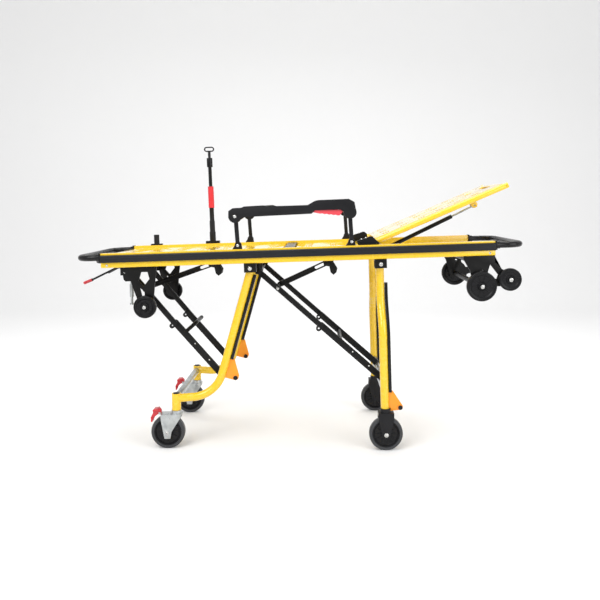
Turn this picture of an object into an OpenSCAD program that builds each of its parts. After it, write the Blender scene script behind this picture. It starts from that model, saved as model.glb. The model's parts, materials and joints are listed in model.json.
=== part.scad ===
// Automatic-loading ambulance stretcher: folding legs, backrest, side grips and drip pole.
// +X is the head end, -Y the patient's left, +Z up; the origin is on the floor under the middle.

/* [Bed] */
// Height of the side rails' top above the floor, at mid-length
bed_height = 903; // [895:1:910]
// Slope of the bed on its legs, head end up, in degrees
bed_tilt = 1.87; // [1.7:0.01:2.0]
// Length of each side rail
rail_length = 1730; // [1700:1:1740]
// Half of the width over the two side rails
rail_outer = 265; // [262:1:268]
// Height of a side rail
rail_h = 64; // [60:1:66]
// Overall length over the end handles
overall_length = 1990; // [1960:1:2020]
// Diameter of the end handles
handle_d = 27; // [22:1:30]

/* [Backrest] */
// Length of the backrest's side tubes
back_length = 645; // [600:1:650]
// Angle of the backrest above the bed
back_angle = 21.4; // [5:0.1:30]
// Diameter of the backrest's side tubes
back_tube_d = 25; // [20:1:28]

/* [Legs and wheels] */
// Diameter of the leg tubes
leg_d = 37; // [32:1:38]
// Wall of the leg tubes
leg_wall = 2.5; // [2:0.5:4]
// Diameter of the four main wheels
wheel_d = 150; // [140:1:150]
// Diameter of the larger loading wheels
load_wheel_d = 132; // [120:1:134]
// Diameter of the smaller loading wheels
tip_wheel_d = 100; // [90:1:104]
// Diameter of the transport wheels under the foot end
transport_wheel_d = 100; // [80:1:104]

/* [Drip pole] */
// Height of the drip pole's hook above the rail it stands on
pole_height = 498; // [470:1:520]

/* [Hidden] */
$fn = 64;

YELLOW = [0.96, 0.79, 0.10];
AMBER = [0.98, 0.63, 0.10];
BLACK = [0.07, 0.07, 0.08];
GREY = [0.25, 0.25, 0.27];
STEEL = [0.75, 0.77, 0.78];
RED = [0.80, 0.12, 0.16];
PINK = [0.88, 0.30, 0.34];

eps = 0.01;
fit = 0.05;                        // radial clearance of a running pin
bead = 1.5;                        // half the length of the bead at each end of a tube's bend
bead_rise = 0.4;

// Rails, in the bed's own frame: u along the bed, y across, w up from the rail tops
rail_start = -873;
rail_w = 28;
rail_inner = rail_outer - rail_w;
rail_wall = 4;
groove_top = -8;
groove_bottom = -41;
groove_depth = 5;
bumper_out = 15;
rail_mid = rail_outer - rail_w / 2;
handle_w = -19;                    // the end handles' centre below the rail tops
handle_bend = 62;
collar_l = 7;
rail_end = rail_start + rail_length;

// Deck sheets and the tubes under them
deck_top = -12;
deck_t = 3;
member_top = deck_top - deck_t;
member_h = 20;
member_b = 26;
member_u = [-850, -600, -320, 60, 372];
low_member_u = [700, 838];         // these two clear the gas strut when the backrest lies flat
low_member_w = -50;
low_member_h = 14;
gap_u = -50;                       // the black cross piece between the two deck sheets
slot_l = 34;
slot_b = 7;

// Leg pivots and the fold's linkage, as [x, z] at rest
foot_pivot = [-217.6, 809.5];
head_pivot_u = 354.2;
pivot_w = -86;
pivot_pin_d = 16;
leg_s = 200;                       // half the distance between the leg tubes at the top
block_l = 53;
block_h = 40;
block_in = 221;
head_anchor = [-190, 785];
head_knee = [84, 521];
head_shaft = [380, 285];
head_elbow = [-103, 706];
head_slot_pin = [121, 810];
foot_anchor = [-779, 787];
foot_knee = [-588.5, 534];
foot_shaft = [-365, 305];
foot_elbow = [-708, 704];
foot_slot_pin = [-428, 805];
anchor_d = 16;
shaft_d = 20;
elbow_d = 12;
upper_s = 150;                     // the braces' bars: upper pair outside, lower pair inside
lower_s = 137;
bar_t = 10;
upper_b = 24;
lower_b = 30;
knee_off = 17;                     // the knee's tab hangs this far under the bars' centre line

// Foot legs and their casters
post_x = -553;
post_s = 240;
post_d = 40;
post_z0 = 173;
post_z1 = 247;
foot_leg_slope = 15.6;
foot_run_z = 225;
foot_bend = 135;
caster_trail = 37.5;
caster_z = wheel_d / 2;
stem_d = 12;
axle_d = 12;
tyre_w = 32;

// Head legs: straight, stepping out sideways, in the bed's frame
head_leg_s = 264;
head_step_top = -262;
head_step_bottom = -376;
head_leg_end = -738;
head_bend = 150;
fork_collar_d = 46;
head_wheel_x = 383;
head_wheel_s = 266;

// Wheels under the bed
transport_c = [-680, 640];
transport_s = 262;
load_c = [796, 733];
tip_c = [920, 763];
load_s = 277;
small_axle_d = 10;

// Release bar under the foot end of the deck, in the bed's frame, and the lever's pivot as [x, z]
release_w = -44;
release_s = 168;
release_d = 15;
release_end = -812;
lever_pivot = [-800, 812];

// Backrest, in a frame of its own: x along it, z away from the bed
back_pivot_u = 336.3;
back_pivot_w = -3;
back_rise = 12;                    // the side tubes' centre above the hinge pin
back_s = 205;
back_pin_d = 12;
strut_base = [400, 876];
strut_tip = [826, 1085];
strut_d = 19;
strut_rod_d = 9;
strut_body_l = 356;

// Side grips, in the bed's frame
grip_s0 = 268;
grip_s1 = 292;
arm_s0 = 259;
arm_s1 = 267;
foot_bracket_s0 = 242;
foot_bracket_s1 = 258;
grip_foot_u = -269.2;
grip_head_u = 229.4;
grip_low_w = 17.3;
grip_lean = [-4.8, 127];         // from an arm's lower pin to its upper pin
grip_pin_d = 8;
trigger_u = 66;
trigger_w = 159;

// Drip pole and the socket beside it, on the right rail
pole_u = -465;
socket_u = -757;
pole_d = 18;

function unit(v) = v / norm(v);

module on_bed() {
    translate([0, 0, bed_height]) rotate([0, -bed_tilt, 0]) children();
}

// Draws the left side's shape on the left (-1) or mirrored on the right (+1)
module on_side(side) {
    if (side < 0) children();
    else mirror([0, 1, 0]) children();
}

module both_sides() {
    for (side = [-1, 1]) on_side(side) children();
}

// A round rod from a to b
module rod(a, b, d) {
    v = b - a;
    translate(a) rotate([0, acos(v[2] / norm(v)), atan2(v[1], v[0])]) cylinder(d = d, h = norm(v));
}

// A round bar across the bed at x, z from y0 to y1
module cross_rod(at, d, y0, y1) {
    translate([at[0], y1, at[1]]) rotate([90, 0, 0]) cylinder(d = d, h = y1 - y0);
}

// A flat plate standing in the x-z plane, from y0 to y1
module upright(y0, y1) {
    translate([0, y1, 0]) rotate([90, 0, 0]) linear_extrude(y1 - y0) children();
}

// A flat bar with round ends from a to b, as an outline
module bar_outline(a, b, width) {
    v = b - a;
    translate(a) rotate(atan2(v[1], v[0])) {
        translate([0, -width / 2]) square([norm(v), width]);
        circle(d = width);
        translate([norm(v), 0]) circle(d = width);
    }
}

module rounded_rect(size, r) {
    translate([r, 0]) square([size[0] - 2 * r, size[1]]);
    translate([0, r]) square([size[0], size[1] - 2 * r]);
    for (x = [r, size[0] - r], y = [r, size[1] - r]) translate([x, y]) circle(r);
}

// One bend of a round tube that runs a, corner, b
module elbow(a, corner, b, bend, d) {
    into = unit(corner - a);
    out = unit(b - corner);
    turn = acos(into * out);
    toward = unit(out - (out * into) * into);
    start = corner - bend * tan(turn / 2) * into;
    centre = start + bend * toward;
    side = cross(-toward, into);
    multmatrix([
        [-toward[0], into[0], side[0], centre[0]],
        [-toward[1], into[1], side[1], centre[1]],
        [-toward[2], into[2], side[2], centre[2]],
        [0, 0, 0, 1]
    ])
        rotate_extrude(angle = turn) translate([bend, 0]) circle(d = d);
}

function trim(a, corner, b, bend) =
    let (into = unit(corner - a), out = unit(b - corner)) bend * tan(acos(into * out) / 2);

// A round bar bent at each inner point of the list, with a low bead at each end of a bend
module bent_rod(points, bend, d) {
    last = len(points) - 1;
    for (i = [0 : last - 1]) {
        way = unit(points[i + 1] - points[i]);
        cut0 = i == 0 ? 0 : trim(points[i - 1], points[i], points[i + 1], bend);
        cut1 = i == last - 1 ? 0 : trim(points[i], points[i + 1], points[i + 2], bend);
        start = points[i] + cut0 * way;
        end = points[i + 1] - cut1 * way;
        rod(start, end, d);
        if (i > 0) rod(start - bead * way, start + bead * way, d + bead_rise);
        if (i < last - 1) rod(end - bead * way, end + bead * way, d + bead_rise);
    }
    for (i = [1 : 1 : last - 1]) elbow(points[i - 1], points[i], points[i + 1], bend, d);
}

// ---------- Bed frame ----------

module side_rail(side) {
    color(YELLOW) on_bed() on_side(side) translate([rail_start, 0, 0])
        rotate([90, 0, 90]) linear_extrude(rail_length) difference() {
            polygon([
                [-rail_inner, 0], [-rail_outer, 0], [-rail_outer, groove_top],
                [-rail_outer + groove_depth, groove_top], [-rail_outer + groove_depth, groove_bottom],
                [-rail_outer + 2, groove_bottom], [-rail_outer + 2, -rail_h + 4],
                [-rail_outer + 6, -rail_h], [-rail_inner, -rail_h]
            ]);
            translate([-rail_outer + groove_depth + rail_wall, -rail_h + rail_wall])
                square([rail_w - groove_depth - 2 * rail_wall, rail_h - 2 * rail_wall]);
        }
}

module side_rail_left() { side_rail(-1); }
module side_rail_right() { side_rail(1); }

module bumper_strips() {
    color(BLACK) on_bed() both_sides() translate([rail_start, -rail_outer + groove_depth, groove_bottom])
        rotate([90, 0, 90]) linear_extrude(rail_length) {
            translate([-bumper_out, 0]) rounded_rect([bumper_out, groove_top - groove_bottom], 6);
            translate([-bumper_out / 2, 0]) square([bumper_out / 2, groove_top - groove_bottom]);
        }
}

// A U of tube across one end of the bed, with a cast collar and a spigot at each rail
module end_handle(rail_u, tip_u) {
    way = tip_u > rail_u ? 1 : -1;
    spigot = rail_w - groove_depth - 2 * rail_wall - 1;
    color(BLACK) on_bed() {
        bent_rod([
            [rail_u + way * collar_l, -rail_mid, handle_w], [tip_u, -rail_mid, handle_w],
            [tip_u, rail_mid, handle_w], [rail_u + way * collar_l, rail_mid, handle_w]
        ], handle_bend, handle_d);
        both_sides() {
            translate([min(rail_u, rail_u + way * collar_l), -rail_outer - 4, -39])
                cube([collar_l, rail_w + 8, 41]);
            translate([min(rail_u, rail_u - way * 40), -rail_outer + groove_depth + rail_wall + 0.5, -34])
                cube([40, spigot, 28]);
            translate([min(rail_u + way * collar_l, rail_u + way * (collar_l + 14)), -rail_mid, handle_w])
                rotate([0, 90, 0]) cylinder(d = handle_d + 5, h = 14);
        }
    }
}

module foot_handle() { end_handle(rail_start, -overall_length / 2 + handle_d / 2); }
module head_handle() { end_handle(rail_end, overall_length / 2 - handle_d / 2); }

// Rows of short slots over a sheet, as outlines, in threes
module slot_rows(u0, groups, pitch, rows) {
    for (g = [0 : groups - 1], y = rows, k = [-1, 0, 1])
        translate([u0 + g * pitch + k * 12, y]) rotate(90)
            bar_outline([-slot_l / 2, 0], [slot_l / 2, 0], slot_b);
}

module deck_sheet(u0, u1, groups, rows) {
    pitch = (u1 - u0) / groups;
    color(YELLOW) on_bed() {
        translate([0, 0, deck_top - deck_t]) linear_extrude(deck_t) difference() {
            translate([u0, -rail_inner]) square([u1 - u0, 2 * rail_inner]);
            slot_rows(u0 + pitch / 2, groups, pitch, rows);
        }
        for (u = [u0, u1 - deck_t]) translate([u, -rail_inner, deck_top - deck_t - 12])
            cube([deck_t, 2 * rail_inner, 12 + eps]);
    }
}

module leg_panel() { deck_sheet(rail_start + 6, -84, 7, [-150, -50, 50, 150]); }
module seat_panel() { deck_sheet(-20, 325, 3, [-150, -50, 50, 150]); }

module cross_member(u, top, height) {
    translate([u - member_b / 2, -rail_inner, top - height]) difference() {
        cube([member_b, 2 * rail_inner, height]);
        translate([3, -1, 3]) cube([member_b - 6, 2 * rail_inner + 2, height - 6]);
    }
}

module cross_members() {
    color(BLACK) on_bed() {
        for (u = member_u) cross_member(u, member_top, member_h);
        for (u = low_member_u) cross_member(u, low_member_w, low_member_h);
        // Guides under the first member, in which the release bar slides
        both_sides() translate([-860, -release_s - 12, release_w - 13]) difference() {
            cube([20, 24, member_top - member_h - release_w + 13 + eps]);
            translate([-1, 12, 13]) rotate([0, 90, 0]) cylinder(d = release_d + 2 * fit, h = 22);
        }
        // Raised strap across the gap between the two deck sheets
        translate([gap_u - 24, -rail_inner, deck_top - 6]) cube([46, 2 * rail_inner, 10]);
        // Ears that hold the gas strut's lower pin
        for (y = [-17, 10]) upright(y, y + 7)
            polygon([[372, member_top - 2], [384, member_top - 2], [412, -32], [412, -50], [372, -50]]);
        cross_rod(in_bed(strut_base), 8, -17.5, 17.5);
    }
}

// Blocks under the rails that carry the legs' pivot pins
module pivot_block(pin) {
    difference() {
        translate([pin[0] - block_l / 2, -rail_outer + 3, -rail_h - block_h])
            cube([block_l, rail_outer - 3 - block_in, block_h]);
        translate([pin[0] - block_l / 2 - 1, -rail_outer + 8, -rail_h - block_h + 6])
            cube([6, rail_outer - 8 - block_in - 5, block_h - 12]);
    }
    cross_rod(pin, pivot_pin_d, -rail_outer + 3 - 4, -leg_s + leg_d / 2 + 4);
    cross_rod(pin, pivot_pin_d + 8, -rail_outer + 3 - 5, -rail_outer + 3);
    cross_rod(pin, pivot_pin_d + 8, -leg_s + leg_d / 2 + 0.5, -leg_s + leg_d / 2 + 5);
}

// A point of the row frame, [x, z], in the bed's frame, [u, w]
function in_bed(at) = let (dz = at[1] - bed_height) [
    at[0] * cos(bed_tilt) + dz * sin(bed_tilt), -at[0] * sin(bed_tilt) + dz * cos(bed_tilt)
];

module pivot_blocks() {
    color(BLACK) on_bed() both_sides() {
        pivot_block(in_bed(foot_pivot));
        pivot_block([head_pivot_u, pivot_w]);
    }
}

// Sloped cast brackets beside the backrest's hinge
module backrest_brackets() {
    color(BLACK) on_bed() both_sides() {
        upright(-rail_inner, -rail_inner + 17)
            polygon([
                [258, 2], [254, 14], [257, 19], [314, 36], [322, 35],
                [352, 8], [352, -15], [331, -15], [331, -10], [262, -10]
            ]);
        translate([258, -rail_inner, 0]) cube([84, 0.5, 2]);
        translate([262, -rail_inner - 18, 0]) cube([80, 20, 5]);
        cross_rod([back_pivot_u, back_pivot_w], back_pin_d, -rail_inner + 10, -back_s + 14);
    }
}

// Plates under the head end that carry the loading wheels
module loading_brackets() {
    y0 = -load_s + 15;
    y1 = y0 + 9;
    color(BLACK) {
        both_sides() {
            upright(y0, y1) difference() {
                union() {
                    polygon([
                        [719, 862.2], [857, 866.7], [857, 838], [890, 806], [912, 800], [940, 789],
                        [930, 731], [868, 731], [830, 716], [812, 708],
                        [772, 712], [758, 760], [748, 800], [719, 850]
                    ]);
                    translate(load_c) circle(d = 52);
                    translate(tip_c) circle(d = 46);
                }
                polygon([[836, 828], [872, 782], [866, 764], [848, 764], [826, 794]]);
                translate([800, 800]) circle(d = 12);
            }
            translate([719, y1, 856]) rotate([0, -bed_tilt, 0]) cube([138, rail_outer - load_s + 20, 6]);
            cross_rod(load_c, small_axle_d, -load_s - 17, y0 + 1);
            cross_rod(load_c, 18, -load_s - 19, -load_s - 14);
            cross_rod(tip_c, small_axle_d, -load_s - 15, y0 + 1);
            cross_rod(tip_c, 18, -load_s - 17, -load_s - 12);
        }
        cross_rod(load_c, 24, -load_s + 24, load_s - 24);
        cross_rod([760, 838], 18, -load_s + 24, load_s - 24);
    }
}

// Plates under the foot end that carry the transport wheels
module transport_forks() {
    y1 = -transport_s + 24;
    y0 = y1 - 8;
    color(BLACK) both_sides() {
        upright(y0, y1) difference() {
            union() {
                polygon([
                    [-798, 812.6], [-631, 818.1], [-640, 740], [-648, 650], [-712, 650], [-735, 715], [-752, 768]
                ]);
                translate(transport_c) circle(d = 62);
            }
            polygon([[-700, 792], [-672, 792], [-664, 762], [-690, 728], [-712, 752]]);
            polygon([[-706, 722], [-686, 704], [-686, 686], [-698, 686]]);
        }
        cross_rod(transport_c, small_axle_d, -transport_s - 16, y0 + 1);
        cross_rod(transport_c, 17, -transport_s - 18, -transport_s - 13.5);
    }
}

// A pair of hangers with the cross rod on which an upper brace turns
module brace_anchor(at, top_z) {
    both_sides() upright(-upper_s - bar_t - 6, -upper_s - bar_t / 2 - 1)
        difference() {
            polygon([[at[0] - 26, top_z], [at[0] + 26, top_z], [at[0] + 13, at[1] - 12], [at[0] - 13, at[1] - 12]]);
            translate(at) circle(d = anchor_d - 1);
        }
    cross_rod(at, anchor_d, -upper_s - bar_t - 8, upper_s + bar_t + 8);
}

// Cheeks and pin stubs beside a control link's slot, with the latch finger under them
module slot_bracket(at, top_z) {
    for (side = [-1, 1]) on_side(side) {
        upright(-20, -12) polygon([
            [at[0] - 28, top_z], [at[0] + 30, top_z], [at[0] + 34, at[1] + 4], [at[0] + 52, at[1] - 24],
            [at[0] + 48, at[1] - 44], [at[0] + 34, at[1] - 56], [at[0] + 20, at[1] - 44], [at[0] + 14, at[1] - 16],
            [at[0] - 12, at[1] - 12]
        ]);
        cross_rod(at, 9, -28, -7.5);
        cross_rod(at, 23, -23, -20);
    }
    cross_rod([at[0] + 36, at[1] - 34], 12, -13, 13);
}

module under_brackets() {
    color(BLACK) {
        brace_anchor(head_anchor, 862);
        brace_anchor(foot_anchor, 842);
        slot_bracket(head_slot_pin, 871);
        slot_bracket(foot_slot_pin, 853);
        // Block beside the foot anchor, and the short housing behind it
        both_sides() {
            upright(-rail_inner + 8, -rail_inner + 34) polygon([
                [-797, 813], [-797, 775], [-786, 775], [-783, 756], [-774, 748], [-738, 750], [-735, 815]
            ]);
            translate([-798, -rail_inner - 0.5, 807]) cube([62, 34, 5]);
        }
        // Ears and pin on which the release lever turns
        for (y0 = [-209, -166]) upright(y0, y0 + 6) translate(lever_pivot) circle(d = 18);
        cross_rod(lever_pivot, 6, -208, -161);
        // Long hangers from the side rails to the cross rods
        for (at = [[head_slot_pin, 871], [foot_slot_pin, 853]]) translate([at[0][0] - 12, -rail_inner, at[1]])
            rotate([0, -bed_tilt, 0]) cube([26, 2 * rail_inner, 8]);
        for (at = [[head_anchor, 860], [foot_anchor, 840]]) translate([at[0][0] - 13, -rail_inner, at[1]])
            rotate([0, -bed_tilt, 0]) cube([26, 2 * rail_inner, 8]);
    }
}

// Sockets on the right rail: a bare one for accessories and the drip pole's own
module rail_sockets() {
    color(BLACK) on_bed() on_side(1) {
        translate([socket_u, -rail_mid, 0]) difference() {
            union() {
                translate([-28, -14, 0]) cube([56, 28, 7]);
                cylinder(d = 27, h = 54);
            }
            translate([0, 0, 9]) cylinder(d = 19, h = 50);
        }
        translate([pole_u, -rail_mid, 0]) difference() {
            union() {
                translate([-35, -14, 0]) cube([70, 28, 13]);
                cylinder(d = 31, h = 60);
                cylinder(d = 27, h = 117);
                cylinder(d = 23, h = 186);
                translate([0, 0, 184]) cylinder(d = 28, h = 110);
            }
            translate([0, 0, 14]) cylinder(d = pole_d + 2 * fit, h = 300);
        }
    }
}

module handrail_feet() {
    color(BLACK) on_bed() both_sides() for (u = [grip_foot_u, grip_head_u]) {
        upright(-foot_bracket_s1, -foot_bracket_s0) {
            translate([u, grip_low_w]) circle(d = 30);
            polygon([[u - 26, 0], [u - 15, grip_low_w], [u + 15, grip_low_w], [u + 17, 0]]);
        }
        cross_rod([u, grip_low_w], grip_pin_d, -arm_s1 - 4, -foot_bracket_s1 + 1);
        cross_rod([u, grip_low_w], grip_pin_d + 6, -arm_s1 - 4, -arm_s1 - 0.5);
    }
}

module lock_plunger() {
    color(STEEL) translate([-757, -196, 0]) {
        translate([0, 0, 732]) cylinder(d = 12, h = 24);
        translate([0, 0, 675]) cylinder(d = 18, h = 57);
        translate([0, 0, 645]) cylinder(d = 11, h = 31);
        translate([0, 0, 640]) cylinder(d = 19, h = 6);
        translate([-10, -6.8, 748]) cube([20, 12.8, 12]);
    }
}

// Squeeze bar just inside the foot handle, on two slide rods under the deck
module release_bar() {
    u = -overall_length / 2 + handle_d / 2 + 52;
    color(BLACK) on_bed() bent_rod([
        [release_end, -release_s, release_w], [u, -release_s, release_w],
        [u, release_s, release_w], [release_end, release_s, release_w]
    ], 40, release_d);
}

module release_lever() {
    color(BLACK) difference() {
        union() {
            bent_rod([[-800, -196, 812], [-830, -196, 803], [-938, -196, 750], [-970, -196, 737]], 30, 9);
            bent_rod([[-800, -176, 812], [-822, -176, 806], [-868, -176, 782]], 20, 11);
            cross_rod(lever_pivot, 12, -202.5, -166.5);
            rod([-968, -196, 737.8], [-932, -196, 752.9], 13);
        }
        cross_rod(lever_pivot, 6 + 2 * fit, -210, -160);
    }
}

// ---------- Foot legs ----------

function foot_leg_path() = let (run = (foot_pivot[1] - foot_run_z) * tan(foot_leg_slope)) [
    [foot_pivot[0], -leg_s, foot_pivot[1]],
    [foot_pivot[0] - run, -leg_s, foot_run_z],
    [post_x, -post_s, foot_run_z]
];

module foot_leg(side) {
    path = foot_leg_path();
    top = path[0];
    corner = path[1];
    end = path[2];
    color(YELLOW) on_side(side) difference() {
        union() {
            bent_rod(path, foot_bend, leg_d);
            cross_rod(foot_pivot, leg_d + 3, -leg_s - leg_d / 2, -leg_s + leg_d / 2);
            translate([post_x, -post_s, post_z0]) cylinder(d = post_d, h = post_z1 - post_z0);
        }
        // The tube's hollow opens into the pivot pin's bore
        bent_rod(
            [top + 5 * unit(corner - top), corner, end - post_d * unit(end - corner)],
            foot_bend, leg_d - 2 * leg_wall
        );
        cross_rod(foot_pivot, pivot_pin_d + 2 * fit, -leg_s - leg_d, -leg_s + leg_d);
        translate([post_x, -post_s, post_z0 - 1]) cylinder(d = stem_d + 2 * fit, h = 50);
    }
}

module foot_leg_left() { foot_leg(-1); }
module foot_leg_right() { foot_leg(1); }

module foot_cross_tubes() {
    reach = post_s - post_d / 2 + 1;
    inner = leg_s - leg_d / 2 + 1;
    difference() {
        union() {
            color(YELLOW) cross_rod([post_x, foot_run_z], 31, -reach, reach);
            color(STEEL) cross_rod(foot_shaft, shaft_d, -inner, inner);
        }
        both_sides() {
            bent_rod(foot_leg_path(), foot_bend, leg_d + 2 * fit);
            translate([post_x, -post_s, post_z0]) cylinder(d = post_d + 2 * fit, h = post_z1 - post_z0);
        }
    }
}

module foot_leg_plates() {
    color(AMBER) both_sides() difference() {
        union() {
            upright(-leg_s - 3.5, -leg_s + 3.5) polygon([
                [-338, 392], [-317, 392], [-297, 394], [-276, 316], [-281, 300], [-292, 295], [-346, 309]
            ]);
            cross_rod([-292, 307.5], 22, -leg_s - 9, -leg_s + 9);
        }
        bent_rod(foot_leg_path(), foot_bend, leg_d + 2 * fit);
    }
}

// ---------- Head legs ----------

function head_leg_path(side) = let (u = head_pivot_u + 0.8) [
    [head_pivot_u, side * leg_s, pivot_w], [head_pivot_u, side * leg_s, head_step_top],
    [u, side * head_leg_s, head_step_bottom], [u, side * head_leg_s, head_leg_end]
];

module head_leg(side) {
    path = head_leg_path(side);
    pin = [head_pivot_u, pivot_w];
    s = side * leg_s;
    color(YELLOW) on_bed() difference() {
        union() {
            bent_rod(path, head_bend, leg_d);
            cross_rod(pin, leg_d + 3, s - leg_d / 2, s + leg_d / 2);
        }
        // The tube's hollow opens into the pivot pin's bore and at its foot
        bent_rod([path[0] - [0, 0, 5], path[1], path[2], path[3] - [0, 0, 1]], head_bend, leg_d - 2 * leg_wall);
        cross_rod(pin, pivot_pin_d + 2 * fit, s - leg_d, s + leg_d);
    }
}

module head_leg_left() { head_leg(-1); }
module head_leg_right() { head_leg(1); }

module head_cross_tubes() {
    reach = head_leg_s - leg_d / 2 + 1;
    difference() {
        union() {
            color(STEEL) cross_rod(head_shaft, shaft_d, -reach, reach);
            color(YELLOW) on_bed() cross_rod([head_pivot_u + 0.8, -660], 22, -reach, reach);
        }
        on_bed() both_sides() bent_rod(head_leg_path(-1), head_bend, leg_d + 2 * fit);
    }
}

module head_leg_plates() {
    color(AMBER) both_sides() difference() {
        union() {
            upright(-head_leg_s - 3.5, -head_leg_s + 3.5)
                polygon([[392, 271], [400, 271], [413, 265], [458, 197], [457, 187], [446, 180], [398, 175]]);
            cross_rod([446, 192], 22, -head_leg_s - 9, -head_leg_s + 9);
        }
        on_bed() bent_rod(head_leg_path(-1), head_bend, leg_d + 2 * fit);
        translate([head_wheel_x - 2.5, -head_wheel_s + 2, 150]) cylinder(d = fork_collar_d + 2 * fit, h = 38.1);
    }
}

module head_forks() {
    color(BLACK) both_sides() {
        translate([head_wheel_x - 35, -head_wheel_s - 24, 154]) cube([69, 48, 17]);
        difference() {
            translate([head_wheel_x - 2.5, -head_wheel_s + 2, 160]) cylinder(d = fork_collar_d, h = 28);
            on_bed() rod(
                [head_pivot_u + 0.8, -head_leg_s, head_leg_end - 0.2],
                [head_pivot_u + 0.8, -head_leg_s, head_leg_end + 60], leg_d + 2 * fit
            );
        }
        for (y0 = [-head_wheel_s - 24, -head_wheel_s + 19]) upright(y0, y0 + 5) {
            polygon([
                [head_wheel_x - 35, 171], [head_wheel_x + 34, 171], [head_wheel_x + 34, 140],
                [head_wheel_x + 18, caster_z], [head_wheel_x - 18, caster_z], [head_wheel_x - 35, 140]
            ]);
            translate([head_wheel_x, caster_z]) circle(r = 18);
        }
        cross_rod([head_wheel_x, caster_z], axle_d, -head_wheel_s - 26, -head_wheel_s + 26);
        cross_rod([head_wheel_x, caster_z], 20, -head_wheel_s - 29, -head_wheel_s - 24);
    }
}

// ---------- Folding braces ----------

// Foot of the perpendicular side of a bar: the knee's place moved up onto the bars' line
function knee_centre(knee, from, to) = knee + knee_off * unit([from[1] - to[1], to[0] - from[0]]);

module brace_bar(from, knee, centre, hole_d, width, y0, y1) {
    upright(y0, y1) difference() {
        union() {
            bar_outline(from, centre, width);
            bar_outline(knee, centre, 24);
        }
        translate(from) circle(d = hole_d);
        translate(knee) circle(d = 11);
    }
}

// Two bars and the elbow's rod between them
module upper_brace(anchor, knee, shaft, elbow_at) {
    centre = knee_centre(knee, anchor, shaft);
    way = unit(centre - anchor);
    y0 = -upper_s - bar_t / 2;
    color(BLACK) {
        both_sides() {
            brace_bar(anchor, knee, centre, anchor_d + 2 * fit, upper_b, y0, y0 + bar_t);
            upright(y0, y0 + bar_t) bar_outline(elbow_at, anchor + way * norm(elbow_at - anchor), 22);
        }
        cross_rod(elbow_at, elbow_d, y0 + bar_t - 1, -y0 - bar_t + 1);
    }
}

// Two bars joined by a round tube, which bows up out of the bars' line where rise is over 0
module lower_brace(shaft, knee, anchor, tube_at, rise) {
    centre = knee_centre(knee, anchor, shaft);
    way = unit(shaft - centre);
    y0 = -lower_s - bar_t / 2;
    foot = centre + tube_at * way;
    top = foot + rise * [-way[1], way[0]];
    color(BLACK) {
        both_sides() brace_bar(shaft, knee, centre, shaft_d + 2 * fit, lower_b, y0, y0 + bar_t);
        if (rise > 0) bent_rod([
            [foot[0], y0 + bar_t / 2, foot[1]], [top[0], -75, top[1]],
            [top[0], 75, top[1]], [foot[0], -y0 - bar_t / 2, foot[1]]
        ], 45, 18);
        else cross_rod(foot, 20, y0 + bar_t - 1, -y0 - bar_t + 1);
    }
}

module control_link(from, pin) {
    way = unit(pin - from);
    color(BLACK) upright(-7, 7) difference() {
        bar_outline(from, pin + 16 * way, 26);
        translate(from) circle(d = elbow_d + 2 * fit);
        bar_outline(pin - 54 * way, pin, 14);
    }
}

module foot_upper_brace() { upper_brace(foot_anchor, foot_knee, foot_shaft, foot_elbow); }
module foot_lower_brace() { lower_brace(foot_shaft, foot_knee, foot_anchor, 62, 55); }
module foot_link() { control_link(foot_elbow, foot_slot_pin); }
module head_upper_brace() { upper_brace(head_anchor, head_knee, head_shaft, head_elbow); }
module head_lower_brace() { lower_brace(head_shaft, head_knee, head_anchor, 120, 0); }
module head_link() { control_link(head_elbow, head_slot_pin); }

// ---------- Wheels ----------

// A solid wheel about the y axis: tyre, dished disc and hub, bored for its axle
module wheel(at, s, d, width, bore, hub_w) {
    r = d / 2;
    color(GREY) translate([at[0], s, at[1]]) rotate([90, 0, 0]) rotate_extrude() difference() {
        union() {
            translate([bore / 2 + fit, -hub_w / 2]) square([r * 0.28 - bore / 2, hub_w]);
            translate([bore / 2 + fit, -width * 0.3]) square([r * 0.8 - bore / 2, width * 0.6]);
            translate([r * 0.72, -width / 2 + 5]) square([r * 0.28, width - 10]);
            translate([r * 0.72, -width / 2]) square([r * 0.28 - 5, width]);
            for (y = [-1, 1]) translate([r - 5, y * (width / 2 - 5)]) circle(5);
        }
    }
}

module caster_wheel(side) {
    wheel([post_x - caster_trail, caster_z], side * post_s, wheel_d, tyre_w, axle_d, tyre_w + 6);
}

module caster_wheel_left() { caster_wheel(-1); }
module caster_wheel_right() { caster_wheel(1); }
module head_wheel_left() { wheel([head_wheel_x, caster_z], -head_wheel_s, wheel_d, tyre_w, axle_d, 36); }
module head_wheel_right() { wheel([head_wheel_x, caster_z], head_wheel_s, wheel_d, tyre_w, axle_d, 36); }
module load_wheel_left() { wheel(load_c, -load_s, load_wheel_d, 24, small_axle_d, 25); }
module load_wheel_right() { wheel(load_c, load_s, load_wheel_d, 24, small_axle_d, 25); }
module tip_wheel_left() { wheel(tip_c, -load_s, tip_wheel_d, 20, small_axle_d, 21); }
module tip_wheel_right() { wheel(tip_c, load_s, tip_wheel_d, 20, small_axle_d, 21); }
module transport_wheel_left() { wheel(transport_c, -transport_s, transport_wheel_d, 24, small_axle_d, 26); }
module transport_wheel_right() { wheel(transport_c, transport_s, transport_wheel_d, 24, small_axle_d, 26); }

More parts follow.
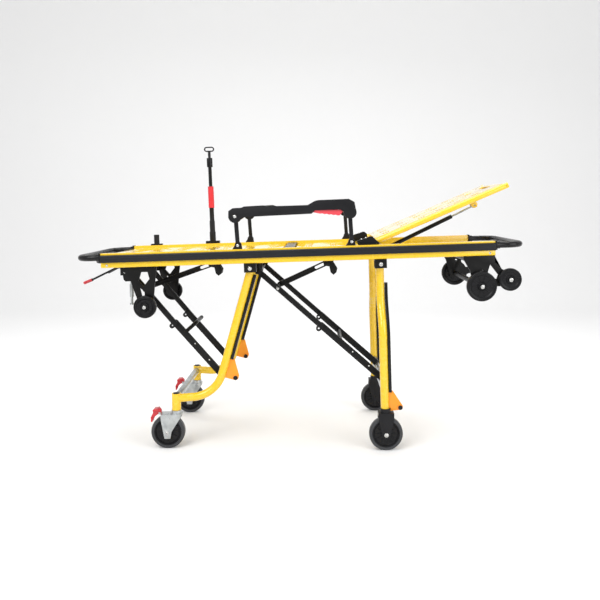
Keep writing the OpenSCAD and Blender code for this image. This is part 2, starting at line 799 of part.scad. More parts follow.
// Swivel fork of a caster: stem, bearing collar, top plate and two cheeks
module caster_fork(side) {
    x = post_x - caster_trail;
    cheek = tyre_w / 2 + 4;
    color(STEEL) on_side(side) {
        translate([post_x, -post_s, 150]) cylinder(d = stem_d, h = 62);
        translate([post_x, -post_s, 156]) cylinder(d = 44, h = 16);
        translate([post_x, -post_s, 152.5]) cylinder(d = 54, h = 6);
        translate([x - 30, -post_s - cheek - 3.5, 152.5]) cube([62, 2 * cheek + 7, 4]);
        for (y0 = [-post_s - cheek - 3.5, -post_s + cheek]) upright(y0, y0 + 3.5) {
            polygon([
                [x - 30, 156.5], [x + 61, 156.5], [x + 58, 140], [x + 19, caster_z + 4],
                [x + 13, 47], [x - 13, 47], [x - 19, caster_z + 4], [x - 28, 128]
            ]);
        }
        cross_rod([x, caster_z], axle_d, -post_s - cheek - 5, -post_s + cheek + 5);
        cross_rod([x, caster_z], 20, -post_s - cheek - 9, -post_s - cheek - 3);
        cross_rod([x, caster_z], 20, -post_s + cheek + 3, -post_s + cheek + 9);
        // Arm to the brake's pin, past the tyre
        for (y0 = [-post_s - 15, -post_s + 10]) upright(y0, y0 + 5)
            polygon([
                [x - 31, 156.5], [x - 24, 156.5], [x - 24, 152.5], [x - 30, 152.5],
                [x - 40, 154], [x - 40, 164], [x - 31, 164]
            ]);
        cross_rod([x - 36, 159], 6, -post_s - 16, -post_s + 16);
    }
}

module caster_fork_left() { caster_fork(-1); }
module caster_fork_right() { caster_fork(1); }

// Two-pad rocking brake pedal: the upper pad locks, the lower one frees
module brake_pedal(side) {
    x = post_x - caster_trail;
    color(RED) on_side(side) difference() {
        union() {
            upright(-post_s - 9.5, -post_s + 9.5) polygon([
                [x - 31, 160], [x - 30, 171], [x - 38, 180], [x - 62, 178], [x - 68, 171], [x - 66, 160],
                [x - 74, 144], [x - 74, 122], [x - 68, 121], [x - 60, 142], [x - 46, 153], [x - 39, 155]
            ]);
            cross_rod([x - 36, 159], 12, -post_s - 9.5, -post_s + 9.5);
            upright(-post_s - 20, -post_s + 20)
                polygon([[x - 42, 173], [x - 42, 180], [x - 62, 178], [x - 66, 171]]);
            upright(-post_s - 18, -post_s + 18)
                polygon([[x - 68, 147], [x - 74, 144], [x - 74, 122], [x - 68, 121]]);
        }
        cross_rod([x - 36, 159], 6 + 2 * fit, -post_s - 12, -post_s + 12);
    }
}

module brake_pedal_left() { brake_pedal(-1); }
module brake_pedal_right() { brake_pedal(1); }

// ---------- Backrest ----------

module at_backrest() {
    on_bed() translate([back_pivot_u, 0, back_pivot_w]) rotate([0, -back_angle, 0]) children();
}

module backrest_frame() {
    color(YELLOW) at_backrest() {
        both_sides() difference() {
            union() {
                rod([4, -back_s, back_rise], [back_length, -back_s, back_rise], back_tube_d);
                cross_rod([0, 0], 26, -back_s - 11, -back_s + 11);
                upright(-back_s - 7, -back_s + 7) bar_outline([0, 0], [22, back_rise], 18);
            }
            rod([30, -back_s, back_rise], [back_length + 1, -back_s, back_rise], back_tube_d - 4);
            cross_rod([0, 0], back_pin_d + 2 * fit, -back_s - 20, -back_s + 20);
            cross_rod([back_length - 10, back_rise], 8, -back_s - 20, -back_s + 20);
        }
        for (x = [70, 300, 514, 622])
            cross_rod([x, back_rise], 20, -back_s + back_tube_d / 2 - 1, back_s - back_tube_d / 2 + 1);
        // Ears over the gas strut's upper end, on the third cross tube
        for (y = [-16, 11]) upright(y, y + 5) difference() {
            polygon([[502, back_rise], [526, back_rise], [534, -32], [526, -44], [512, -44], [504, -32]]);
            translate([518.7, -33.6]) circle(d = 8);
        }
    }
}

module backrest_panel() {
    half = back_s - back_tube_d / 2 - 0.3;
    color(YELLOW) at_backrest() difference() {
        translate([14, -half, back_rise + 10.1]) cube([back_length - 30, 2 * half, 3]);
        translate([0, 0, back_rise]) linear_extrude(30) {
            slot_rows(70, 6, 88, [-140, 0, 140]);
            bar_outline([596, -52], [596, 52], 30);
        }
    }
}

module strut_cylinder() {
    way = unit(strut_tip - strut_base);
    top = strut_base + strut_body_l * way;
    a = [strut_base[0], 0, strut_base[1]];
    mouth = [top[0], 0, top[1]];
    dir = [way[0], 0, way[1]];
    color(BLACK) difference() {
        union() {
            rod(a + 14 * dir, mouth, strut_d);
            cross_rod(strut_base, 18, -9, 9);
            rod(a, a + 16 * dir, 14);
        }
        cross_rod(strut_base, 8 + 2 * fit, -12, 12);
        rod(a + 40 * dir, mouth + dir, strut_rod_d + 2 * fit);
    }
}

module strut_rod() {
    way = unit(strut_tip - strut_base);
    tip = [strut_tip[0], 0, strut_tip[1]];
    dir = [way[0], 0, way[1]];
    color(STEEL) difference() {
        union() {
            rod(tip - 250 * dir, tip, strut_rod_d);
            cross_rod(strut_tip, 18, -9, 9);
        }
        cross_rod(strut_tip, 8, -12, 12);
    }
}

// ---------- Side grips ----------

module grip_arm(side, u) {
    low = [u, grip_low_w];
    high = low + grip_lean;
    color(BLACK) on_bed() on_side(side) upright(-arm_s1, -arm_s0) difference() {
        bar_outline(low, high, 18);
        translate(low) circle(d = grip_pin_d + 2 * fit);
        translate(high) circle(d = grip_pin_d + 2 * fit);
    }
}

module foot_post_left() { grip_arm(-1, grip_foot_u); }
module foot_post_right() { grip_arm(1, grip_foot_u); }
module head_post_left() { grip_arm(-1, grip_head_u); }
module head_post_right() { grip_arm(1, grip_head_u); }

// Moulded top bar: lobes over the arms, a raised housing at the head end and a trigger slot
module grip_bar(side) {
    low_u = grip_foot_u + grip_lean[0];
    high_u = grip_head_u + grip_lean[0];
    top_w = grip_low_w + grip_lean[1];
    color(BLACK) on_bed() on_side(side) {
        difference() {
            upright(-grip_s1, -grip_s0) {
                translate([low_u, top_w]) circle(r = 28);
                translate([high_u, top_w + 2]) circle(r = 28);
                polygon([
                    [low_u - 28, top_w], [low_u - 27, top_w + 24], [low_u - 8, top_w + 36],
                    [-244, top_w + 37], [-232, top_w + 42], [-150, top_w + 44], [-132, top_w + 38],
                    [40, top_w + 38], [74, top_w + 56], [90, top_w + 59], [high_u - 4, top_w + 60],
                    [high_u + 20, top_w + 46], [high_u + 28, top_w], [high_u - 20, top_w - 16],
                    [high_u - 24, top_w + 4], [high_u - 40, top_w + 15], [74, top_w + 15], [58, top_w + 1],
                    [-196, top_w - 3], [low_u + 42, top_w - 4], [low_u + 26, top_w - 14]
                ]);
            }
            upright(-grip_s1 + 6, -grip_s0 - 6) polygon([
                [54, top_w - 6], [58, top_w + 26], [high_u - 30, top_w + 36], [high_u - 30, top_w - 10]
            ]);
        }
        for (u = [low_u, high_u]) {
            cross_rod([u, top_w], grip_pin_d, -grip_s0 - 1, -arm_s0 + 3);
            cross_rod([u, top_w], grip_pin_d + 6, -arm_s0 + 0.5, -arm_s0 + 3);
        }
        cross_rod([trigger_u, trigger_w], 5, -grip_s1 + 1, -grip_s0 - 1);
    }
}

module grip_bar_left() { grip_bar(-1); }
module grip_bar_right() { grip_bar(1); }

// Squeeze trigger with finger ridges, hinged at its foot-side end
module grip_trigger(side) {
    ridges = [for (k = [4 : -1 : 0], dip = [1, 0])
        [trigger_u + 30 + 19 * k + 8 * dip, trigger_w - 11 - 2.6 * k - 2.6 * dip - 4 * (1 - dip)]];
    color(PINK) on_bed() on_side(side) upright(-grip_s1 + 6.5, -grip_s0 - 6.5) difference() {
        polygon(concat([
            [trigger_u - 2, trigger_w - 8], [trigger_u - 5, trigger_w], [trigger_u, trigger_w + 6],
            [trigger_u + 118, trigger_w - 1], [trigger_u + 128, trigger_w - 8]
        ], ridges));
        translate([trigger_u, trigger_w]) circle(d = 5 + 2 * fit);
    }
}

module grip_trigger_left() { grip_trigger(-1); }
module grip_trigger_right() { grip_trigger(1); }

// ---------- Drip pole ----------

module drip_pole() {
    collar = pole_height - 104;
    hook = pole_height - 13;
    color(STEEL) on_bed() on_side(1) translate([pole_u, -rail_mid, 0]) {
        translate([0, 0, 120]) cylinder(d = pole_d, h = collar - 120 + 1);
        translate([0, 0, collar]) cylinder(d = 29, h = 46);
        translate([0, 0, collar + 45]) cylinder(d = 14, h = hook - collar - 45 - 8);
        translate([0, 4, hook]) rotate([90, 0, 0]) linear_extrude(8) difference() {
            bar_outline([-13, 0], [13, 0], 26);
            bar_outline([-13, 0], [13, 0], 14);
        }
    }
}

side_rail_left();
side_rail_right();
bumper_strips();
foot_handle();
head_handle();
leg_panel();
seat_panel();
cross_members();
pivot_blocks();
backrest_brackets();
loading_brackets();
transport_forks();
under_brackets();
rail_sockets();
handrail_feet();
lock_plunger();
release_bar();
release_lever();
foot_leg_left();
foot_leg_right();
foot_cross_tubes();
foot_leg_plates();
head_leg_left();
head_leg_right();
head_cross_tubes();
head_leg_plates();
head_forks();
foot_upper_brace();
foot_lower_brace();
foot_link();
head_upper_brace();
head_lower_brace();
head_link();
caster_fork_left();
caster_fork_right();
caster_wheel_left();
caster_wheel_right();
brake_pedal_left();
brake_pedal_right();
head_wheel_left();
head_wheel_right();
load_wheel_left();
load_wheel_right();
tip_wheel_left();
tip_wheel_right();
transport_wheel_left();
transport_wheel_right();
backrest_frame();
backrest_panel();
strut_cylinder();
strut_rod();
foot_post_left();
foot_post_right();
head_post_left();
head_post_right();
grip_bar_left();
grip_bar_right();
grip_trigger_left();
grip_trigger_right();
drip_pole();
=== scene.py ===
"""Ambulance stretcher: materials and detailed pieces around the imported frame."""

import bmesh
import bpy
import json
from math import cos, pi, radians, sin, tau
from mathutils import Matrix, Vector


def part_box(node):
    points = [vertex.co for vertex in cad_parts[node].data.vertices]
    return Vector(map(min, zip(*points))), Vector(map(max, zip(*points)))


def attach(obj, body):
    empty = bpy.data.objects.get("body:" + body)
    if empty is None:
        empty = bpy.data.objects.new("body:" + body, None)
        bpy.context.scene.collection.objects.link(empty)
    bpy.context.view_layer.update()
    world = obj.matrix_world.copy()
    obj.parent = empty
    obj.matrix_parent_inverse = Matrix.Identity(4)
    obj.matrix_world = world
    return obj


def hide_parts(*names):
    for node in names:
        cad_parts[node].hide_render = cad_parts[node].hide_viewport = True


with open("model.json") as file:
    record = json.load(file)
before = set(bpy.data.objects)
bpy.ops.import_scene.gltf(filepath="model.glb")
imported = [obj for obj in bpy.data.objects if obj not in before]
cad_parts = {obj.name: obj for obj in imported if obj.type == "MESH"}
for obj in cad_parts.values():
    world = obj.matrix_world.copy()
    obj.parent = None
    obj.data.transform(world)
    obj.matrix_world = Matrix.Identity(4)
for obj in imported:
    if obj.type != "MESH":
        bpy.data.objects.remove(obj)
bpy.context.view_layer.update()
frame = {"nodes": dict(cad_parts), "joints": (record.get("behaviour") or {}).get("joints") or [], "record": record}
JOINTS = {joint["name"]: joint for joint in frame["joints"]}
BODIES = frame["record"]["behaviour"]["bodies"]
SLOTS = {part["node"]: part["material_slot"] for part in frame["record"]["subparts"]}
BODY_OF = {node: body for body, nodes in BODIES.items() for node in nodes}
SIDES = {"left": -1, "right": 1}
MM = 0.001

# Half the distances between the leg tubes and the caster posts, and the posts' top
FOOT_LEG_S, HEAD_LEG_S, POST_S = 0.200, 0.264, 0.240
POST_TOP = 0.247
X, Y, Z = Vector((1, 0, 0)), Vector((0, 1, 0)), Vector((0, 0, 1))


def pivot(joint):
    return Vector(JOINTS[joint]["pos_m"])


# The bed's own directions: UP away from the deck, ALONG towards the head end
UP = Vector(JOINTS["drip_pole_slide"]["axis"]).normalized()
ALONG = Vector((UP.z, 0, -UP.x))
RAIL_LOW, RAIL_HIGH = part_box("side_rail_left")
RAIL_TOP = RAIL_HIGH.z - RAIL_HIGH.x * ALONG.z / ALONG.x


def bed(u, y, w):
    """A point in the row frame from the bed's own coordinates, all in metres."""
    return ALONG * u + UP * w + Vector((0, y, RAIL_TOP))


# ---------------------------------------------------------------- materials


def nodes_of(name):
    material = bpy.data.materials.new(name)
    material.use_nodes = True
    tree = material.node_tree
    return material, tree, tree.nodes["Principled BSDF"]


def noise(tree, coords, scale, detail=4.0, roughness=0.55, stretch=(1, 1, 1)):
    mapping = tree.nodes.new("ShaderNodeMapping")
    mapping.inputs["Scale"].default_value = stretch
    tree.links.new(coords, mapping.inputs["Vector"])
    node = tree.nodes.new("ShaderNodeTexNoise")
    node.inputs["Scale"].default_value = scale
    node.inputs["Detail"].default_value = detail
    node.inputs["Roughness"].default_value = roughness
    tree.links.new(mapping.outputs["Vector"], node.inputs["Vector"])
    return node.outputs["Fac"]


def spread(tree, fac, low, high, at=(0.3, 0.7)):
    node = tree.nodes.new("ShaderNodeMapRange")
    for key, value in zip(("From Min", "From Max", "To Min", "To Max"), (*at, low, high)):
        node.inputs[key].default_value = value
    tree.links.new(fac, node.inputs["Value"])
    return node.outputs["Result"]


def ramp(tree, fac, *stops):
    node = tree.nodes.new("ShaderNodeValToRGB")
    node.color_ramp.elements[0].position = stops[0][0]
    node.color_ramp.elements[0].color = (*stops[0][1], 1)
    node.color_ramp.elements[1].position = stops[-1][0]
    node.color_ramp.elements[1].color = (*stops[-1][1], 1)
    for place, colour in stops[1:-1]:
        node.color_ramp.elements.new(place).color = (*colour, 1)
    tree.links.new(fac, node.inputs["Fac"])
    return node.outputs["Color"]


def bumps(tree, shader, *layers):
    """Layers of (height, distance in mm, strength), one on another."""
    normal = None
    for height, distance, strength in layers:
        node = tree.nodes.new("ShaderNodeBump")
        node.inputs["Distance"].default_value = distance * MM
        node.inputs["Strength"].default_value = strength
        tree.links.new(height, node.inputs["Height"])
        if normal:
            tree.links.new(normal, node.inputs["Normal"])
        normal = node.outputs["Normal"]
    tree.links.new(normal, shader.inputs["Normal"])


def worn_edges(tree, colour, under, amount):
    """Mixes the colour of what lies under the finish into the sharpest edges, in specks."""
    geometry = tree.nodes.new("ShaderNodeNewGeometry")
    coords = tree.nodes.new("ShaderNodeTexCoord").outputs["Object"]
    edge = spread(tree, geometry.outputs["Pointiness"], 0, 1, at=(0.56, 0.66))
    specks = spread(tree, noise(tree, coords, 260, 6, 0.7), 0, 1, at=(0.52, 0.62))
    both = tree.nodes.new("ShaderNodeMath")
    both.operation = "MULTIPLY"
    tree.links.new(edge, both.inputs[0])
    tree.links.new(specks, both.inputs[1])
    scaled = tree.nodes.new("ShaderNodeMath")
    scaled.operation = "MULTIPLY"
    scaled.inputs[1].default_value = amount
    tree.links.new(both.outputs[0], scaled.inputs[0])
    mix = tree.nodes.new("ShaderNodeMix")
    mix.data_type = "RGBA"
    tree.links.new(scaled.outputs[0], mix.inputs["Factor"])
    tree.links.new(colour, mix.inputs["A"])
    mix.inputs["B"].default_value = (*under, 1)
    return mix.outputs["Result"]


def finish(name, dark, light, rough, metallic=0.0, coat=0.0, grain=900, grain_mm=0.02, under=None,
           wear=0.5, shine=0.5, streak=(1, 1, 1), cloud=7):
    """A coated or moulded surface: cloudy colour, uneven gloss, fine grain and worn edges."""
    material, tree, shader = nodes_of(name)
    coords = tree.nodes.new("ShaderNodeTexCoord").outputs["Object"]
    clouds = noise(tree, coords, cloud, 5, 0.6)
    colour = ramp(tree, clouds, (0.3, dark), (0.72, light))
    if under:
        colour = worn_edges(tree, colour, under, wear)
    tree.links.new(colour, shader.inputs["Base Color"])
    smears = noise(tree, coords, 38, 6, 0.65, streak)
    tree.links.new(spread(tree, smears, rough[0], rough[1]), shader.inputs["Roughness"])
    fine = noise(tree, coords, grain, 3, 0.5, streak)
    soft = noise(tree, coords, grain / 9, 2, 0.5)
    bumps(tree, shader, (soft, grain_mm * 3, 0.25), (fine, grain_mm, 0.6))
    shader.inputs["Metallic"].default_value = metallic
    shader.inputs["Specular IOR Level"].default_value = shine
    shader.inputs["Coat Weight"].default_value = coat
    shader.inputs["Coat Roughness"].default_value = 0.08
    return material


def make_materials():
    bare = (0.55, 0.55, 0.52)
    black = {"grain": 1200, "grain_mm": 0.012, "under": (0.06, 0.06, 0.06), "wear": 0.25}
    return {
        "yellow_paint": finish("yellow_paint", (0.80, 0.50, 0.007), (0.85, 0.55, 0.010), (0.2, 0.32),
                               coat=0.5, grain=1300, grain_mm=0.012, under=bare, wear=0.35),
        "yellow_sheet": finish("yellow_sheet", (0.86, 0.57, 0.011), (0.88, 0.59, 0.013), (0.07, 0.13),
                               coat=0.8, grain=900, grain_mm=0.005, under=bare, wear=0.3, cloud=3),
        "amber_plate": finish("amber_plate", (0.84, 0.27, 0.009), (0.90, 0.32, 0.013), (0.3, 0.42),
                              grain=1100, grain_mm=0.02, under=(0.95, 0.5, 0.1), wear=0.3),
        "bumper": finish("bumper", (0.004, 0.005, 0.007), (0.008, 0.009, 0.013), (0.32, 0.48),
                         shine=0.3, **black),
        "black_tube": finish("black_tube", (0.003, 0.003, 0.0035), (0.006, 0.006, 0.0065), (0.2, 0.3),
                             shine=0.28, **black),
        "black_steel": finish("black_steel", (0.003, 0.003, 0.003), (0.007, 0.007, 0.007), (0.3, 0.42),
                              shine=0.2, **black),
        "black_plastic": finish("black_plastic", (0.005, 0.005, 0.006), (0.009, 0.009, 0.011), (0.32, 0.46),
                                shine=0.25, **black),
        "zinc": finish("zinc", (0.36, 0.38, 0.38), (0.56, 0.58, 0.58), (0.22, 0.42), metallic=1.0,
                       grain=700, grain_mm=0.02, under=(0.7, 0.71, 0.71), wear=0.6, cloud=26),
        "bolt_steel": finish("bolt_steel", (0.50, 0.50, 0.49), (0.7, 0.7, 0.68), (0.18, 0.34), metallic=1.0,
                             grain=900, grain_mm=0.01, under=(0.9, 0.9, 0.9), wear=0.5, cloud=60),
        "pole_steel": finish("pole_steel", (0.003, 0.003, 0.004), (0.007, 0.007, 0.008), (0.2, 0.32),
                             shine=0.28, **black),
        "brake_red": finish("brake_red", (0.46, 0.006, 0.014), (0.58, 0.012, 0.022), (0.25, 0.36),
                            coat=0.3, grain=900, grain_mm=0.02, under=(0.8, 0.3, 0.3), wear=0.4),
        "trigger_red": finish("trigger_red", (0.66, 0.045, 0.065), (0.76, 0.075, 0.095), (0.34, 0.46),
                              grain=1300, grain_mm=0.03, under=(0.9, 0.45, 0.45), wear=0.3),
        "sleeve_red": finish("sleeve_red", (0.58, 0.012, 0.022), (0.68, 0.022, 0.034), (0.3, 0.44),
                             grain=1400, grain_mm=0.04, under=(0.85, 0.3, 0.3), wear=0.3),
        "wheel_grey": finish("wheel_grey", (0.030, 0.031, 0.034), (0.046, 0.048, 0.052), (0.3, 0.46),
                             grain=1300, grain_mm=0.03, under=(0.16, 0.16, 0.16), wear=0.3, shine=0.35),
        "wheel_black": finish("wheel_black", (0.003, 0.003, 0.004), (0.007, 0.007, 0.008), (0.32, 0.44),
                              shine=0.25, **black),
        "floor": finish("floor", (0.88, 0.88, 0.88), (0.885, 0.885, 0.885), (0.75, 0.8), grain=300,
                        grain_mm=0.002, shine=0.1),
    }


MATERIALS = make_materials()

# ---------------------------------------------------------------- mesh helpers


def new_object(name, mesh, material):
    obj = bpy.data.objects.new(name, mesh)
    bpy.context.scene.collection.objects.link(obj)
    mesh.materials.clear()
    mesh.materials.append(MATERIALS[material])
    return obj


def from_bmesh(name, bm, material, smooth_angle=35):
    """Makes an object, shaded smooth except over edges sharper than the angle."""
    bmesh.ops.recalc_face_normals(bm, faces=bm.faces)
    for face in bm.faces:
        face.smooth = True
    for edge in bm.edges:
        edge.smooth = len(edge.link_faces) == 2 and edge.calc_face_angle(0) < radians(smooth_angle)
    mesh = bpy.data.meshes.new(name)
    bm.to_mesh(mesh)
    bm.free()
    return new_object(name, mesh, material)


def place(obj, body, slot, *replaced):
    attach(obj, body)
    if replaced:
        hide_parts(*replaced)
    return obj


def rounded_node(node, bevel_mm, material=None, angle=32, segments=2):
    """The CAD node's own shape with its sharp edges broken, as the coated part has them."""
    bm = bmesh.new()
    bm.from_mesh(frame["nodes"][node].data)
    bmesh.ops.remove_doubles(bm, verts=bm.verts, dist=2e-6)
    bmesh.ops.dissolve_limit(bm, angle_limit=radians(0.8), verts=bm.verts, edges=bm.edges)
    sharp = [e for e in bm.edges if len(e.link_faces) == 2 and e.calc_face_angle(0) > radians(angle)]
    if bevel_mm:
        bmesh.ops.bevel(bm, geom=sharp, offset=bevel_mm * MM, offset_type="OFFSET", segments=segments,
                        profile=0.6, affect="EDGES", clamp_overlap=True)
    slot = SLOTS[node]
    obj = from_bmesh(node + "_finished", bm, material or slot)
    return place(obj, BODY_OF[node], slot, node)


def turn_to(axis):
    """The rotation that takes +Z to the axis."""
    return Vector(axis).to_track_quat("Z", "Y").to_matrix().to_4x4()


def lathe_into(bm, outline, at, axis, steps=64):
    """Turns an outline of (radius, height) points in mm about the axis through at."""
    move = Matrix.Translation(at) @ turn_to(axis)
    rings = []
    for radius, height in outline:
        if radius <= 0:
            rings.append([bm.verts.new(move @ Vector((0, 0, height * MM)))])
            continue
        rings.append([
            bm.verts.new(move @ Vector((radius * MM * cos(tau * k / steps),
                                        radius * MM * sin(tau * k / steps), height * MM)))
            for k in range(steps)
        ])
    for ring, following in zip(rings, rings[1:]):
        for k in range(steps):
            nxt = (k + 1) % steps
            if len(ring) == 1 and len(following) == 1:
                continue
            if len(ring) == 1:
                bm.faces.new((ring[0], following[k], following[nxt]))
            elif len(following) == 1:
                bm.faces.new((ring[k], following[0], ring[nxt]))
            else:
                bm.faces.new((ring[k], following[k], following[nxt], ring[nxt]))


def lathe(name, outline, at, axis, material, steps=64, closed=True):
    bm = bmesh.new()
    points = list(outline)
    if closed and outline[0][0] > 0 and outline[-1][0] > 0:
        points.append(outline[0])
    lathe_into(bm, points, at, axis, steps)
    bmesh.ops.remove_doubles(bm, verts=bm.verts, dist=1e-7)
    return from_bmesh(name, bm, material)


def arc(cx, cy, r, start, end, steps=6):
    """Points on an arc, angles in degrees."""
    return [(cx + r * cos(radians(start + (end - start) * k / steps)),
             cy + r * sin(radians(start + (end - start) * k / steps))) for k in range(steps + 1)]


def sweep(name, points, outline, normal, material):
    """Carries a closed outline of (across, out) points in mm along a path, out being near the normal."""
    bm = bmesh.new()
    rings = []
    for i, point in enumerate(points):
        ahead = points[min(i + 1, len(points) - 1)] - points[max(i - 1, 0)]
        ahead.normalize()
        across = ahead.cross(normal).normalized()
        out = across.cross(ahead).normalized()
        rings.append([bm.verts.new(point + across * (a * MM) + out * (b * MM)) for a, b in outline])
    count = len(outline)
    for ring, following in zip(rings, rings[1:]):
        for k in range(count):
            nxt = (k + 1) % count
            bm.faces.new((ring[k], ring[nxt], following[nxt], following[k]))
    bm.faces.new(rings[0])
    bm.faces.new(list(reversed(rings[-1])))
    return from_bmesh(name, bm, material)


def rounded_outline(width, height, r, steps=4):
    x, y = width / 2 - r, height / 2 - r
    return [p for cx, cy, a in ((x, y, 0), (-x, y, 90), (-x, -y, 180), (x, -y, 270))
            for p in arc(cx, cy, r, a, a + 90, steps)]


# ---------------------------------------------------------------- fasteners


def bolt_into(bm, at, axis, d, washer=True, low=False):
    """A hexagon-socket button head on a washer, standing out of the surface at a point."""
    r = d / 2
    if washer:
        lathe_into(bm, [(0, 0), (r * 1.75, 0), (r * 1.75, 0.9), (r * 1.6, 1.2), (0, 1.2)], at, axis, 32)
    base = 1.2 if washer else 0
    rise = d * (0.35 if low else 0.5)
    socket = r * 0.55
    dome = [(r * 1.35 * cos(radians(a)), base + 0.4 + rise * sin(radians(a))) for a in range(0, 76, 15)]
    outline = [(0, base), (r * 1.35, base)] + dome + [
        (socket, base + rise + 0.35), (socket * 0.95, base + rise * 0.35), (0, base + rise * 0.3)]
    lathe_into(bm, outline, at, axis, 24)


def bolts(name, body, slot, heads, **options):
    """One piece with all of a body's bolt heads, each (point, outward axis, diameter in mm)."""
    bm = bmesh.new()
    for at, axis, d in heads:
        bolt_into(bm, at, axis, d, **options)
    return place(from_bmesh(name, bm, "bolt_steel", 30), body, slot)


# ---------------------------------------------------------------- wheels


def wheel_piece(node, joint, tread, rim):
    """Tyre, ribbed disc and bearing caps in place of the plain CAD wheel."""
    low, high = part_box(node)
    centre = pivot(joint)
    r = (high.z - low.z) / 2 / MM
    hub = (high.y - low.y) / 2 / MM
    half = hub - (3 if r > 70 else 0.5)
    ring = r * (0.80 if r > 70 else 0.84)
    body = BODY_OF[node]
    tyre_outline = (
        [(ring, -half + 5), (ring + 1.5, -half + 1.2)]
        + arc(r - 6.5, -half + 6.5, 6.3, -80, -12, 6)
        + [(r - 0.15, -half * 0.3), (r, 0), (r - 0.15, half * 0.3)]
        + arc(r - 6.5, half - 6.5, 6.3, 12, 80, 6)
        + [(ring + 1.5, half - 1.2), (ring, half - 5)]
    )
    tyre = lathe(node + "_tyre", tyre_outline, centre, Y, tread, 96)
    place(tyre, body, SLOTS[node], node)
    bm = bmesh.new()
    web = half * 0.42
    lip = ring - 5
    lathe_into(bm, [
        (9, -hub + 1), (10.5, -hub), (15, -hub), (17, -hub + 2), (18, -web - 2), (20, -web), (lip - 4, -web),
        (lip - 1, -web - 2.5), (lip + 1, -half + 2.5), (ring, -half + 1.6), (ring + 0.6, -half + 3),
        (ring + 0.6, half - 3), (ring, half - 1.6), (lip + 1, half - 2.5), (lip - 1, web + 2.5),
        (lip - 4, web), (20, web), (18, web + 2), (17, hub - 2), (15, hub), (10.5, hub), (9, hub - 1),
        (9, -hub + 1),
    ], centre, Y, 96)
    for side in (-1, 1):
        for k in range(rim):
            spin = Matrix.Rotation(tau * k / rim, 4, "Y")
            along = spin @ X
            across = spin @ Z
            thick = 1.6 * MM
            rows = []
            for reach, height in ((17 * MM, 0.35), (lip * MM, 0.22)):
                base = centre + along * reach + Y * side * web * 0.9 * MM
                top = centre + along * reach + Y * side * (web + (half - web) * height) * MM
                rows.append([bm.verts.new(p + across * s) for p, s in
                             ((base, -thick), (base, thick), (top, thick * 0.55), (top, -thick * 0.55))])
            a, b = rows
            for k2 in range(4):
                nxt = (k2 + 1) % 4
                bm.faces.new((a[k2], a[nxt], b[nxt], b[k2]))
            bm.faces.new(a)
            bm.faces.new(list(reversed(b)))
    disc = from_bmesh(node + "_disc", bm, "wheel_black")
    place(disc, body, SLOTS[node])


# ---------------------------------------------------------------- frame pieces


def bumper(side):
    """Ribbed rubber strip along a rail's outer face."""
    u0 = (RAIL_LOW.x + 0.002) / ALONG.x
    u1 = (RAIL_HIGH.x - 0.002) / ALONG.x
    top, bottom, out = -8.0, -41.0, abs(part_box("bumper_strips")[0].y) / MM
    inner = out - 15
    mid = (top + bottom) / 2
    face = [(out, mid + 9), (out - 0.6, mid + 7.6), (out - 0.6, mid + 5.4), (out, mid + 4),
            (out + 0.0, mid - 4), (out - 0.6, mid - 5.4), (out - 0.6, mid - 7.6), (out, mid - 9)]
    upper = [(inner, top - 0.3), (inner + 6.5, top - 0.2)] + arc(out - 5, top - 5.2, 5, 88, 8, 5)
    lower = arc(out - 5, bottom + 5.2, 5, -8, -88, 5) + [(inner + 6.5, bottom + 0.2), (inner, bottom + 0.3)]
    outline = upper + face + lower
    bm = bmesh.new()
    rings = [[bm.verts.new(bed(u, side * y * MM, w * MM)) for y, w in outline] for u in (u0, u1)]
    count = len(outline)
    for k in range(count):
        nxt = (k + 1) % count
        bm.faces.new((rings[0][k], rings[0][nxt], rings[1][nxt], rings[1][k]))
    bm.faces.new(rings[0])
    bm.faces.new(list(reversed(rings[1])))
    return from_bmesh("bumper_" + ("left" if side < 0 else "right"), bm, "bumper", 40)


def leg_strips():
    """Black guard strips up the head-side face of each leg."""
    head = pivot("head_leg_fold")
    foot = pivot("foot_leg_fold")
    slope = radians(15.6)
    down = Vector((-sin(slope), 0, -cos(slope)))
    face = Vector((cos(slope), 0, -sin(slope)))
    profile = rounded_outline(22, 13, 3)
    for name, side in SIDES.items():
        start = foot + Y * side * 0.2 + face * 0.0250
        points = [start + down * t for t in (0.03, 0.16, 0.29, 0.425)]
        strip = sweep("foot_strip_" + name, points, profile, face, "black_tube")
        place(strip, "foot_legs", "black_tube")
        # The head leg steps out sideways between two bends, and its strip follows it
        path = [(-0.175, 0.2), (-0.225, 0.2), (-0.245, 0.2025), (-0.265, 0.2075), (-0.29, 0.2175),
                (-0.345, 0.2465), (-0.37, 0.2565), (-0.39, 0.2615), (-0.41, HEAD_LEG_S), (-0.5, HEAD_LEG_S),
                (-0.655, HEAD_LEG_S)]
        hinge = Vector((head.x, 0, head.z))
        points = [hinge + UP * (w + 0.086) + Y * side * y + ALONG * 0.0260 for w, y in path]
        strip = sweep("head_strip_" + name, points, profile, ALONG, "black_tube")
        place(strip, "head_legs", "black_tube")


def rail_bolts():
    heads = []
    u0, u1 = RAIL_LOW.x / ALONG.x, RAIL_HIGH.x / ALONG.x
    for side in (-1, 1):
        for u in (u0 + 0.026, u1 - 0.026):
            heads.append((bed(u, side * 0.263, -0.053), Y * side, 6))
        for joint, low in (("head_leg_fold", 0.267), ("foot_leg_fold", 0.267)):
            at = pivot(joint)
            heads.append((Vector((at.x, side * low, at.z)), Y * side, 10))
        for joint in ("grip_fold_left", "grip_head_post_left"):
            at = pivot(joint)
            heads.append((Vector((at.x, side * 0.271, at.z)), Y * side, 7))
        heads.append((Vector((-0.773, side * 0.2375, 0.792)), Y * side, 8))
    for k in (0.012, 0.031):
        for side in (-1, 1):
            heads.append((bed(0.262 + k, side * 0.2285, 0.0205 + k * 0.29), (-0.29 * X + 0.96 * Z), 6))
    bolts("rail_bolts", "bed_frame", "zinc", heads, low=True)


